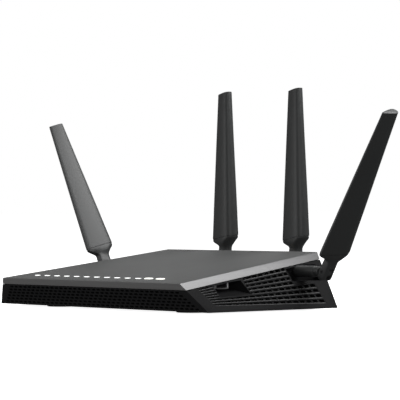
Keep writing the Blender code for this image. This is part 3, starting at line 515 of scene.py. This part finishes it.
def add_pocket(bm, y_ends, floor, rise=0.0, lean=0.0):
    """What a recess takes out of the right wall: it can widen towards its mouth, down and to the rear."""
    outside = HALF_WIDTH + 10
    beyond = (outside - POCKET_MOUTH_X) / (POCKET_MOUTH_X - POCKET_X)
    rings = []
    for y, share in zip(y_ends, (0.0, lean)):
        low = pocket_floor(y, y_ends, floor)
        high = top_z(y - share) - BAND - 1.3
        inner_y, outer_y = y - share, y + share * beyond
        inner_low, outer_low = low + rise, low - rise * beyond
        rings.append([(POCKET_X, inner_y, inner_low), (outside, outer_y, outer_low),
                      (outside, outer_y, high), (POCKET_X, inner_y, high)])
    add_loft(bm, rings)


def add_liner(bm, y_ends, floor):
    """The solid that a recess in the right wall is cut from, up to the middle of the wall."""
    below_rim = BAND + RIM_GAP + 0.1
    knee = FRONT_TOP_Y + (LINER_TOP + below_rim - FRONT_TOP_Z) / TOP_RISE
    stations = [y_ends[0] - LINER, y_ends[1] + LINER]
    if stations[0] < knee < stations[1]:
        stations.insert(1, knee)
    inner = POCKET_X - LINER
    to_middle = WALL / 2 * math.hypot(1, SIDE_LEAN)
    rings = []
    for y in stations:
        low = pocket_floor(y, y_ends, floor) - LINER
        high = min(top_z(y) - below_rim, LINER_TOP)
        outer_low, outer_high = side_x(low) - to_middle, side_x(high) - to_middle
        rings.append([(inner, y, low), (outer_low, y, low), (outer_high, y, high), (inner, y, high)])
    add_loft(bm, rings)


def side_row_z(row, y):
    """The middle of a row of the side grille. The rows fan out towards the rear."""
    along = y - SIDE_FRONT
    return SIDE_LOW + SIDE_RISE * along + row * (SIDE_PITCH + SIDE_SPREAD * along)


def along_side(ends, y):
    """A value that changes evenly from the front end of the grille to its rear end."""
    return ends[0] + (ends[1] - ends[0]) * (y - SIDE_FRONT) / (SIDE_REAR - SIDE_FRONT)


def on_side(y, z, out):
    """A point over the right wall, out along its normal."""
    return Vector((side_x(z), y, z)) + SIDE_NORMAL * out


def row_stretches(row):
    """The stretches of a row of side slots, up to the edges of the two recesses."""
    start = front_y(side_row_z(row, SIDE_FRONT)) + SIDE_FROM_CREASE
    rear = SIDE_REAR if row < ROWS_BELOW_ANTENNA else ANTENNA_POCKET_Y[0] - 1.2
    if row < FULL_ROWS:
        return [(start, rear)]
    before = PORT_POCKET_Y[0] - RECESS_MARGIN
    behind = PORT_POCKET_Y[1] + RECESS_MARGIN - 0.6 * (row - FULL_ROWS)
    if row < ROWS_BESIDE_PORT:
        return [(start, before), (behind, rear)]
    return [(start, before - 1.3), (behind + 1.2 * (row - ROWS_BESIDE_PORT + 1), rear)]


def slot_spans(start, end):
    """Where the slots in a stretch begin and end. They line up between rows and are cut short at its ends."""
    first = math.floor((start - SIDE_REAR) / SLOT_PITCH)
    last = math.ceil((end - SIDE_REAR) / SLOT_PITCH)
    spans = []
    for i in range(first, last + 1):
        back = SIDE_REAR + i * SLOT_PITCH
        span = (max(back - SLOT_LENGTH, start), min(back, end))
        if span[1] - span[0] > SHORTEST_SLOT:
            spans.append(span)
    return spans


def add_side_grooves(bm):
    """The grooves of the right grille, with a sloped lower lip. Their floors are left as the ribs; their
    sides and lip take a lighter copy of the case black, a painted highlight along each slat.
    """
    for row in range(SIDE_ROWS):
        for start, end in row_stretches(row):
            rings = []
            for y in (start - GROOVE_OVERRUN, end + GROOVE_OVERRUN):
                half = along_side(SIDE_SHARES, y) / 2
                depth = along_side(GROOVE_DEPTHS, y)
                low, high, rib = (side_row_z(row + edge, y) for edge in (-half, half, -half - RIB_SLOPE))
                outline = ((low, -depth), (low, -RIB_DROP * (low - rib)), (rib, 0),
                           (rib, CUT_REACH[1]), (high, CUT_REACH[1]), (high, -depth))
                rings.append([on_side(y, z, out) for z, out in outline])
            add_loft(bm, rings)
    bmesh.ops.recalc_face_normals(bm, faces=bm.faces)
    # Painted highlight: every groove face but the floor takes the lighter copy of the case black.
    for face in bm.faces:
        is_floor = face.normal.dot(SIDE_NORMAL) < -0.98
        face.material_index = CASE_MATERIALS.index("case" if is_floor else "slat_highlight")


def add_side_slots(bm):
    """The slots through the grooves' floors."""
    for row in range(SIDE_ROWS):
        for start, end in row_stretches(row):
            for low, high in slot_spans(start, end):
                y = (low + high) / 2
                pitch = side_row_z(row + 1, y) - side_row_z(row, y)
                half = along_side(SIDE_SHARES, y) / 2 * SLOT_IN_GROOVE * pitch
                outline = rounded(high - low, 2 * half, min(half * 0.9, (high - low) * 0.3, 0.8), 3)
                places = [(y + u, side_row_z(row, y + u) + v) for u, v in outline]
                add_loft(bm, [[on_side(*place, out) for place in places] for out in CUT_REACH])


def add_front_holes(bm):
    """Staggered rows of oval holes through the front wall."""
    width, height = FRONT_HOLE
    for row in range(FRONT_ROWS):
        z = FRONT_LOW + row * FRONT_PITCH
        reach = side_x(z) - FRONT_EDGE
        count = int(2 * reach / FRONT_HOLE_PITCH)
        shift = FRONT_HOLE_PITCH / 2 * (row % 2)
        outline = rounded(width, height, height * 0.48, 3)
        for i in range(-count // 2, count // 2 + 1):
            x = i * FRONT_HOLE_PITCH + shift
            if abs(x) > reach:
                continue
            places = [Vector((x + u, front_y(z + v), z + v)) for u, v in outline]
            add_loft(bm, [[place + FRONT_NORMAL * out for place in places] for out in CUT_REACH])


def add_window(bm, sign, y, width, height):
    """The opening for a port in the inner wall of a recess."""
    outline = rounded(width + PORT_GAP, height + PORT_GAP, 0.6, 2, (y, PORT_LOW + height / 2))
    stand = Matrix(((0, 0, 1, 0), (1, 0, 0, 0), (0, 1, 0, 0), (0, 0, 0, 1)))
    low, high = sorted((sign * (POCKET_X - 4), sign * (POCKET_X + 1.5)))
    add_prism(bm, outline, low, high, stand)


def make_case():
    """The lower case: grilles in three walls, and recesses for the ports and the side antennas."""
    bm = bmesh.new()
    rim = roof_plane(BAND + RIM_GAP)
    sides = (side_plane(-1), side_plane(1))
    add_wedge(bm, *sides, front_plane(), rear_plane(), level_plane(FOOT_HEIGHT), rim)
    bmesh.ops.bevel(bm, geom=list(bm.edges), offset=CASE_ROUND, segments=2, profile=0.6, affect="EDGES")
    bmesh.ops.recalc_face_normals(bm, faces=bm.faces)
    # The faces that look forward take the tuned copy of the black: painted light and shade.
    for face in bm.faces:
        face.material_index = CASE_MATERIALS.index("case_front" if face.normal.y < -0.7 else "case")
    case = new_object(bm, "case_shell", [MATERIALS[m] for m in CASE_MATERIALS])

    hollow = bmesh.new()
    walls = (side_plane(-1, WALL), side_plane(1, WALL), front_plane(WALL))
    add_wedge(hollow, *walls, upright_plane(REAR_TOP_Y + 10), level_plane(FLOOR_Z), roof_plane(-5))
    boolean(case, hollow)

    solid = bmesh.new()
    add_liner(solid, PORT_POCKET_Y, PORT_POCKET_FLOOR)
    add_liner(solid, ANTENNA_POCKET_Y, ANTENNA_POCKET_FLOOR)
    add_mirrored(solid)
    boolean(case, solid, "UNION")

    holes = bmesh.new()
    add_pocket(holes, PORT_POCKET_Y, PORT_POCKET_FLOOR, PORT_POCKET_RISE, PORT_POCKET_LEAN)
    add_pocket(holes, ANTENNA_POCKET_Y, ANTENNA_POCKET_FLOOR)
    add_mirrored(holes)
    boolean(case, holes)

    for add in (add_side_grooves, add_side_slots):
        cutter = bmesh.new()
        add(cutter)
        add_mirrored(cutter)
        boolean(case, cutter)
    cutter = bmesh.new()
    add_front_holes(cutter)
    boolean(case, cutter)

    openings = bmesh.new()
    for y in USB_Y.values():
        add_window(openings, 1, y, *USB_SIZE)
    add_window(openings, -1, ESATA_Y, *ESATA_SIZE)
    for sign in (-1, 1):
        _, y, z = AXES["right"]
        place = Matrix.Translation((sign * POCKET_X, y, z)) @ Matrix.Rotation(math.pi / 2, 4, "Y")
        add_prism(openings, circle(3.2, 24), -5, 5, place)
    boolean(case, openings)
    resharpen(case)
    finish_piece(case, "case", "case_black", "lower_case")


def make_shade_sheets():
    """A near-black sheet behind the grilles, cut away around the recesses: painted shade that keeps the slots
    and holes dark.
    """
    bm = bmesh.new()
    levels = (level_plane(FLOOR_Z + 0.2), roof_plane(BAND + RIM_GAP + 0.2))
    walls = (side_plane(-1, SHADE_SHEET_INSET), side_plane(1, SHADE_SHEET_INSET), front_plane(SHADE_SHEET_INSET))
    add_wedge(bm, *walls, upright_plane(REAR_BASE_Y - 6), *levels)
    shade_sheet = new_object(bm, "vent_shade_sheet", [MATERIALS["shade_backing"]])
    hollow = bmesh.new()
    inner = SHADE_SHEET_INSET + SHADE_SHEET_THICKNESS
    walls = (side_plane(-1, inner), side_plane(1, inner), front_plane(inner))
    add_wedge(hollow, *walls, upright_plane(REAR_BASE_Y), level_plane(0), roof_plane())
    boolean(shade_sheet, hollow)
    recesses = bmesh.new()
    for y_ends, floor in ((PORT_POCKET_Y, PORT_POCKET_FLOOR), (ANTENNA_POCKET_Y, ANTENNA_POCKET_FLOOR)):
        low = floor[0] - LINER - 0.2
        add_box(recesses, (POCKET_X - LINER, y_ends[0] - LINER, low), (HALF_WIDTH, y_ends[1] + LINER, 60.0))
    add_mirrored(recesses)
    boolean(shade_sheet, recesses)
    finish_piece(shade_sheet, "case", "case_black")


def make_feet():
    """Rubber pads that stand on a ring, with a shallow dish in the middle."""
    radius = FOOT_RADIUS
    top = FOOT_HEIGHT - FOOT_GAP
    profile = [(0, 0.35), (radius - 4, 0.35), (radius - 3.4, 0), (radius - 0.5, 0),
               (radius - 0.15, 0.15), (radius, 0.5), (radius, top), (0, top)]
    for side, x in (("left", -FOOT_X), ("right", FOOT_X)):
        for end, y in FOOT_Y.items():
            bm = bmesh.new()
            add_turned(bm, profile, 64, Matrix.Translation((x, y, 0)))
            foot = new_object(bm, f"foot_pad_{end}_{side}", [MATERIALS["rubber"]])
            finish_piece(foot, "case", "rubber", f"foot_{end}_{side}")


# ---------------------------------------------------------------- indicators and buttons


def make_indicators():
    """The row of indicator lenses in the cover, and the two buttons at its right end."""
    top = top_z(ROW_Y)
    bm = bmesh.new()
    width, depth = LIGHT_SIZE
    for x in LIGHT_X:
        add_prism(bm, rounded(width, depth, 0.6, 3, (x, ROW_Y)), top - ROOF, top + LIGHT_RISE)
    lens = new_object(bm, "indicator_lenses", [MATERIALS["light"]])
    finish_piece(lens, "case", "light_guide", "light_guide")

    for name, x in TOP_BUTTON_X.items():
        width, depth = TOP_BUTTON_SIZE
        bm = bmesh.new()
        rings = []
        for shrink, z in ((0, -1.6), (0, 0.25), (0.12, 0.45), (0.45, 0.58)):
            outline = rounded(width - 2 * shrink, depth - 2 * shrink, depth / 2 - shrink, 8, (x, ROW_Y))
            rings.append([(px, py, top_z(py) + z) for px, py in outline])
        add_loft(bm, rings)
        cap = new_object(bm, f"{name}_cap", [MATERIALS["button"]])
        finish_piece(cap, f"{name}_body", "light_guide", name)


# ---------------------------------------------------------------- antennas


def blade_section(z, width, thickness, nose, shift=0.0, slant=0.0):
    """One ring of the blade: a thin nose at -Y, crowned flanks, and a flat back with round corners."""
    front = shift - width / 2
    back = shift + width / 2
    corner = 0.46 * thickness
    flank = [(front, nose * 0.25), (front + 0.02 * width, nose * 0.42)]
    reach = back - corner - front
    for i in range(1, 8):
        share = i / 7
        swell = 1 - (1 - share) ** 1.5
        flank.append((front + 0.05 * width + (reach - 0.05 * width) * share,
                      nose / 2 + (thickness - nose) / 2 * swell))
    for angle in (0.25, 0.5, 0.75, 1.0):
        turn = angle * math.pi / 2
        flank.append((back - corner * (1 - math.sin(turn)), thickness / 2 - corner * (1 - math.cos(turn))))
    points = [(x, y) for y, x in flank] + [(-x, y) for y, x in reversed(flank)]
    return [(x, y, z + slant * y) for x, y in points]


def make_blade(name):
    """The blade with its forked root. Rings give height, width, thickness, nose, shift and slant."""
    tip = BLADE_LENGTH
    rings = [blade_section(z, *sizes) for z, *sizes in (
        (-7.6, 11.0, 3.8, 3.4),
        (-7.2, 11.9, 5.2, 4.8),
        (-6.4, 12.4, 6.8, 6.4),
        (-5.0, 12.6, 7.9, 7.5),
        (-3.0, 12.6, 8.2, 7.8),
        (9.0, 12.6, 8.2, 7.8),
        (11.0, 12.6, 8.6, 7.0),
        (12.6, 14.0, 10.0, 6.0, -0.1, 0.4 * BLADE_SLANT),
        (14.4, 18.0, 12.0, 4.8, -0.4, 0.8 * BLADE_SLANT),
        (16.2, 23.0, 13.2, 4.2, -0.9, BLADE_SLANT),
        (18.0, 28.4, 13.9, 3.8, -1.3, BLADE_SLANT),
        (19.3, 30.1, 14.0, 3.6, -1.5, BLADE_SLANT),
        (19.8, 30.4, 14.0, 3.6, -1.6, BLADE_SLANT),
        (19.95, 29.7, 13.3, 2.9, -1.6, BLADE_SLANT),
        (20.6, 29.7, 13.3, 2.9, -1.6, BLADE_SLANT),
        (20.75, 30.7, 14.3, 3.6, -1.6, BLADE_SLANT),
        (22.5, 30.8, 14.4, 3.6, -1.6, BLADE_SLANT),
        (60.0, 26.8, 12.6, 3.1, -1.6, BLADE_SLANT),
        (110.0, 21.2, 10.0, 2.5, -1.6, BLADE_SLANT),
        (tip - 0.5, 16.1, 7.9, 1.9, -1.5, BLADE_SLANT),
        (tip - 0.1, 15.9, 7.7, 1.8, -1.5, BLADE_SLANT),
        (tip, 15.4, 7.2, 1.4, -1.5, BLADE_SLANT),
    )]
    bm = bmesh.new()
    add_loft(bm, rings)
    blade = new_object(bm, f"{name}_blade_shell", [MATERIALS["antenna"]])
    slot = bmesh.new()
    add_box(slot, (-10, -SLOT_HALF, -12), (10, SLOT_HALF, SLOT_TOP))
    boolean(blade, slot)
    bore = bmesh.new()
    add_prism(bore, circle(PIN_RADIUS + PIN_PLAY, 24), -9, 9, Matrix.Rotation(math.pi / 2, 4, "X"))
    boolean(blade, bore)
    resharpen(blade, 30)
    place_on_pivot(blade, name, BLADE_TURNS)
    finish_piece(blade, f"{name}_blade", "antenna_black", f"{name}_antenna_blade")


def place_on_pivot(obj, name, turns):
    """Moves the mesh itself from the pivot's own axes to the antenna's place."""
    pivot = Vector(AXES[name]) * MM
    obj.data.transform(Matrix.Translation(pivot) @ turns[name].to_4x4())


def make_pin(name):
    bm = bmesh.new()
    half = PIN_HALF
    profile = [(0, -half), (1.0, -half), (PIN_RADIUS, -half + 0.4),
               (PIN_RADIUS, half - 0.4), (1.0, half), (0, half)]
    add_turned(bm, profile, 24, Matrix.Rotation(math.pi / 2, 4, "X"))
    pin = new_object(bm, f"{name}_pin", [MATERIALS["screw"]])
    place_on_pivot(pin, name, BLADE_TURNS)
    finish_piece(pin, f"{name}_blade", "steel", f"{name}_hinge_pin")


def make_base(name):
    """The swivelling base: a turned collar over the jack, a narrower ring, and the fold's tongue."""
    bm = bmesh.new()
    bore_end = -COLLAR_START + COLLAR_BORE_DEPTH
    collar = [(-0.9, -COLLAR_START), (-0.35, -COLLAR_START + 0.3), (0, -COLLAR_START + 1.2),
              (0, -RING_START - 2.2), (-0.1, -RING_START - 0.8), (-0.45, -RING_START - 0.2)]
    ring = [(-0.35, -RING_START), (-0.35, -RING_START + 0.7), (0, -RING_START + 1.0),
            (0, -RING_END - 0.4), (-0.4, -RING_END)]
    profile = [(0, bore_end), (COLLAR_BORE, bore_end), (COLLAR_BORE, -COLLAR_START)]
    profile += [(COLLAR_RADIUS + r, z) for r, z in collar]
    profile += [(RING_RADIUS + r, z) for r, z in ring] + [(0, -RING_END)]
    add_turned(bm, profile, 48)
    base = new_object(bm, f"{name}_base_shell", [MATERIALS["antenna"]])
    tongue = bmesh.new()
    r = TONGUE_RADIUS
    arc = [(-r * math.cos(a), r * math.sin(a)) for a in [math.pi * i / 20 for i in range(21)]]
    outline = [(-r, -RING_END - 2.5)] + arc + [(r, -RING_END - 2.5)]
    stand = Matrix(((1, 0, 0, 0), (0, 0, 1, 0), (0, 1, 0, 0), (0, 0, 0, 1)))
    add_prism(tongue, outline, -TONGUE_HALF, TONGUE_HALF, stand)
    boolean(base, tongue, "UNION")
    hole = bmesh.new()
    add_prism(hole, circle(PIN_RADIUS + PIN_PLAY, 24), -9, 9, Matrix.Rotation(math.pi / 2, 4, "X"))
    boolean(base, hole)
    resharpen(base, 24)
    place_on_pivot(base, name, BASE_TURNS)
    finish_piece(base, f"{name}_base", "antenna_black", f"{name}_antenna_base")


def make_antennas():
    for name in AXES:
        make_blade(name)
        make_pin(name)
        make_base(name)


# ---------------------------------------------------------------- ports


def make_port_shell(name, sign, y, size):
    """A folded metal socket with a flared lip and a tongue inside. Its parts inside the wall are painted
    darker, as shade.
    """
    width, height = size
    middle = (y, PORT_LOW + height / 2)
    stand = Matrix(((0, 0, 1, 0), (1, 0, 0, 0), (0, 1, 0, 0), (0, 0, 0, 1)))

    def ring(out, grow):
        outline = rounded(width - 0.3 + grow, height - 0.3 + grow, 0.7, 4, middle)
        return [stand @ Vector((a, b, sign * (POCKET_X + out))) for a, b in outline]

    bm = bmesh.new()
    stations = ((-PORT_SHELL_DEPTH, 0), (0.3, 0), (0.9, 0.5), (1.3, 1.1), (1.45, 0.95),
                (1.25, 0.1), (0.8, -0.6), (0.2, -0.9), (-10, -0.9))
    add_loft(bm, [ring(*s) for s in stations])
    shell = new_object(bm, f"{name}_shell", [MATERIALS["port_lip"], MATERIALS["port_inside"]])
    # Painted shade: the shell's faces inside the wall take the darker copy of the nickel.
    for face in shell.data.polygons:
        if abs(face.center.x) < (POCKET_X + 0.4) * MM:
            face.material_index = 1
    finish_piece(shell, "case", "steel", name)
    bm = bmesh.new()
    high = PORT_LOW + height - 1.3
    xs = sorted((sign * (POCKET_X - 9.5), sign * (POCKET_X - 0.6)))
    add_box(bm, (xs[0], y - width / 2 + 1.5, high - 1.6), (xs[1], y + width / 2 - 1.5, high))
    bmesh.ops.bevel(bm, geom=list(bm.edges), offset=0.25, segments=2, affect="EDGES")
    tongue = new_object(bm, f"{name}_tongue", [MATERIALS["port_black"]])
    finish_piece(tongue, "case", "port_black")


def make_ports():
    for name, y in USB_Y.items():
        make_port_shell(name, 1, y, USB_SIZE)
    make_port_shell("esata_port", -1, ESATA_Y, ESATA_SIZE)


# ---------------------------------------------------------------- nodes shown as the CAD has them

NODE_MATERIALS = {
    "rear_panel": "case",
    "main_board": "board",
    "processor": "chip",
    "heat_sink": "aluminium",
    "radio_shield_left": "steel",
    "radio_shield_right": "steel",
    "ethernet_ports": "port_yellow",
    "internet_port": "port_black",
    "power_jack": "port_black",
    "power_button": "port_black",
    "reset_button": "port_black",
    "led_switch": "port_black",
}
SUFFIX_MATERIALS = {
    "_antenna_jack": "brass",
    "_jack_nut": "steel",
    "_radiator": "brass",
    "_antenna_lead": "lead",
}


def dress_nodes():
    """Gives every node that shows its CAD shape a material and soft edges."""
    for name, node in nodes.items():
        if node.hide_render:
            continue
        key = NODE_MATERIALS.get(name)
        if "screw" in name:
            key = "screw"
        for suffix, choice in SUFFIX_MATERIALS.items():
            if name.endswith(suffix):
                key = choice
        node.data.materials.clear()
        node.data.materials.append(MATERIALS[key])
        soften(node)


# ---------------------------------------------------------------- stage


def make_stage():
    """A pale floor and a white world, which lights the router a little from all round."""
    bm = bmesh.new()
    bmesh.ops.create_grid(bm, x_segments=1, y_segments=1, size=30000)
    floor = new_object(bm, "floor")
    material = bpy.data.materials.new("pale_floor")
    material.use_nodes = True
    shader = material.node_tree.nodes["Principled BSDF"]
    shader.inputs["Base Color"].default_value = (0.9, 0.9, 0.9, 1)
    shader.inputs["Roughness"].default_value = 0.9
    shader.inputs["Specular IOR Level"].default_value = 0.0
    shader.inputs["Emission Color"].default_value = (1, 1, 1, 1)
    shader.inputs["Emission Strength"].default_value = 0.95
    floor.data.materials.append(material)
    floor.visible_diffuse = False
    floor.visible_glossy = False

    world = bpy.data.worlds.new("studio")
    bpy.context.scene.world = world
    world.use_nodes = True
    tree = world.node_tree
    lit = tree.nodes["Background"]
    lit.inputs["Color"].default_value = (1, 1, 1, 1)
    direction = tree.nodes.new("ShaderNodeTexCoord")
    axes = tree.nodes.new("ShaderNodeSeparateXYZ")
    tree.links.new(direction.outputs["Generated"], axes.inputs["Vector"])
    height = tree.nodes.new("ShaderNodeMapRange")
    height.inputs["From Min"].default_value = -0.3
    height.inputs["From Max"].default_value = 0.3
    height.inputs["To Min"].default_value = 0.13
    height.inputs["To Max"].default_value = 0.19
    tree.links.new(axes.outputs["Z"], height.inputs["Value"])
    tree.links.new(height.outputs["Result"], lit.inputs["Strength"])
    seen = tree.nodes.new("ShaderNodeBackground")
    seen.inputs["Color"].default_value = (1, 1, 1, 1)
    path = tree.nodes.new("ShaderNodeLightPath")
    mix = tree.nodes.new("ShaderNodeMixShader")
    tree.links.new(path.outputs["Is Camera Ray"], mix.inputs["Fac"])
    tree.links.new(lit.outputs["Background"], mix.inputs[1])
    tree.links.new(seen.outputs["Background"], mix.inputs[2])
    tree.links.new(mix.outputs["Shader"], tree.nodes["World Output"].inputs["Surface"])


def add_light(name, direction, distance_m, size_m, power):
    """A soft rectangular light that faces the router from this direction."""
    data = bpy.data.lights.new(name, "AREA")
    data.shape = "RECTANGLE"
    data.size, data.size_y = size_m
    data.energy = power
    obj = bpy.data.objects.new(name, data)
    bpy.context.collection.objects.link(obj)
    away = Vector(direction).normalized()
    obj.location = away * distance_m
    obj.rotation_euler = away.to_track_quat("Z", "Y").to_euler()


def make_lights():
    add_light("key_behind", (0.42, 0.40, 0.81), 1.5, (1.4, 1.1), 26)
    add_light("backdrop", (-0.60, 0.66, 0.45), 2.5, (2.0, 0.9), 8)
    add_light("fill_camera", (0.72, -0.66, 0.16), 3.0, (1.6, 1.2), 13)
    add_light("fill_front", (-0.60, -0.80, 0.10), 3.0, (2.6, 1.6), 18)


def make_camera():
    data = bpy.data.cameras.new("camera")
    data.sensor_width = 36.0
    data.lens = CAMERA_LENS_MM
    data.clip_end = 100.0
    camera = bpy.data.objects.new("camera", data)
    bpy.context.collection.objects.link(camera)
    turn = Matrix.Rotation(CAMERA_HEADING, 4, "Z") @ Matrix.Rotation(math.pi / 2 + CAMERA_PITCH, 4, "X")
    camera.matrix_world = Matrix.Translation(CAMERA_M) @ turn @ Matrix.Rotation(CAMERA_ROLL, 4, "Z")
    bpy.context.scene.camera = camera


def main():
    scene = bpy.context.scene
    scene.view_settings.view_transform = "Standard"
    make_camera()
    make_cover()
    make_case()
    make_shade_sheets()
    make_feet()
    make_indicators()
    make_antennas()
    make_ports()
    dress_nodes()
    make_stage()
    make_lights()


main()
